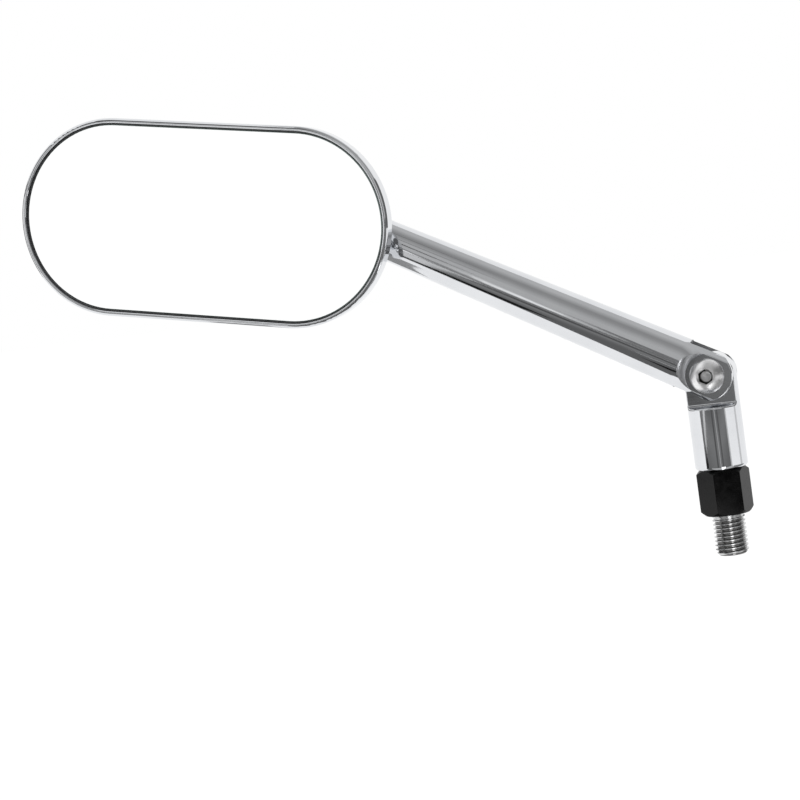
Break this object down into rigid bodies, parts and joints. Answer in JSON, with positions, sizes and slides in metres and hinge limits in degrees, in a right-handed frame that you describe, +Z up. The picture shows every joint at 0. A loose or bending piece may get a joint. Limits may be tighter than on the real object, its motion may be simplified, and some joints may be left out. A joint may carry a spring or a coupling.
{
  "type": "motorcycle mirror",
  "caption": "Chrome motorcycle mirror: pill-shaped glass in a slim pan on a ball joint, a tapered arm on a screwed hinge, and a screw-in stem with a black lock nut.",
  "frame": {"origin": "on the stud's axis, in the plane of the lock nut's lower face, where the part it screws into begins", "axes": "+Z up the stem, -X out along the arm to the head, -Y the way the glass looks, towards the rider"},
  "size_m": [0.2192, 0.0247, 0.1585],
  "materials": {
    "chrome": "polished",
    "thread_steel": "satin",
    "screw_steel": "gloss",
    "spring_steel": "satin",
    "black_nut": "satin",
    "nylon": "satin",
    "seal_rubber": "matte",
    "foam": "matte",
    "silvered_glass": "polished"
  },
  "bodies": {
    "base": {"threaded_stud": "thread_steel", "stem_base": "chrome"},
    "nut": {"lock_nut": "black_nut"},
    "arm": {"arm": "chrome", "pivot_screw": "screw_steel", "pivot_nut": "screw_steel", "ball_stud": "screw_steel"},
    "rear_liner": {"rear_ball_liner": "nylon"},
    "front_liner": {"front_ball_liner": "nylon"},
    "head": {"housing": "chrome", "thrust_cup": "screw_steel", "disc_spring": "spring_steel", "retaining_ring": "screw_steel", "glass_seal": "seal_rubber", "foam_pad": "foam", "mirror_glass": "silvered_glass"}
  },
  "joints": [
    {"name": "lock_nut_turn", "type": "hinge", "parent": "base", "child": "nut", "pos_m": [0, 0, 0], "axis": [0, 0, 1], "range_deg": [-360, 0]},
    {"name": "arm_pivot", "type": "hinge", "parent": "base", "child": "arm", "pos_m": [0, 0, 0.0425], "axis": [0, 1, 0], "range_deg": [-30, 150]},
    {"name": "head_turn", "type": "hinge", "parent": "arm", "child": "rear_liner", "pos_m": [-0.11042, 0, 0.10421], "axis": [-0.8729, 0, 0.4879], "continuous": true},
    {"name": "head_tilt", "type": "hinge", "parent": "rear_liner", "child": "front_liner", "pos_m": [-0.11042, 0, 0.10421], "axis": [0.4879, 0, 0.8729], "range_deg": [-5.5, 5.5]},
    {"name": "head_swing", "type": "hinge", "parent": "front_liner", "child": "head", "pos_m": [-0.11042, 0, 0.10421], "axis": [0, 1, 0], "range_deg": [-12, 12]}
  ]
}
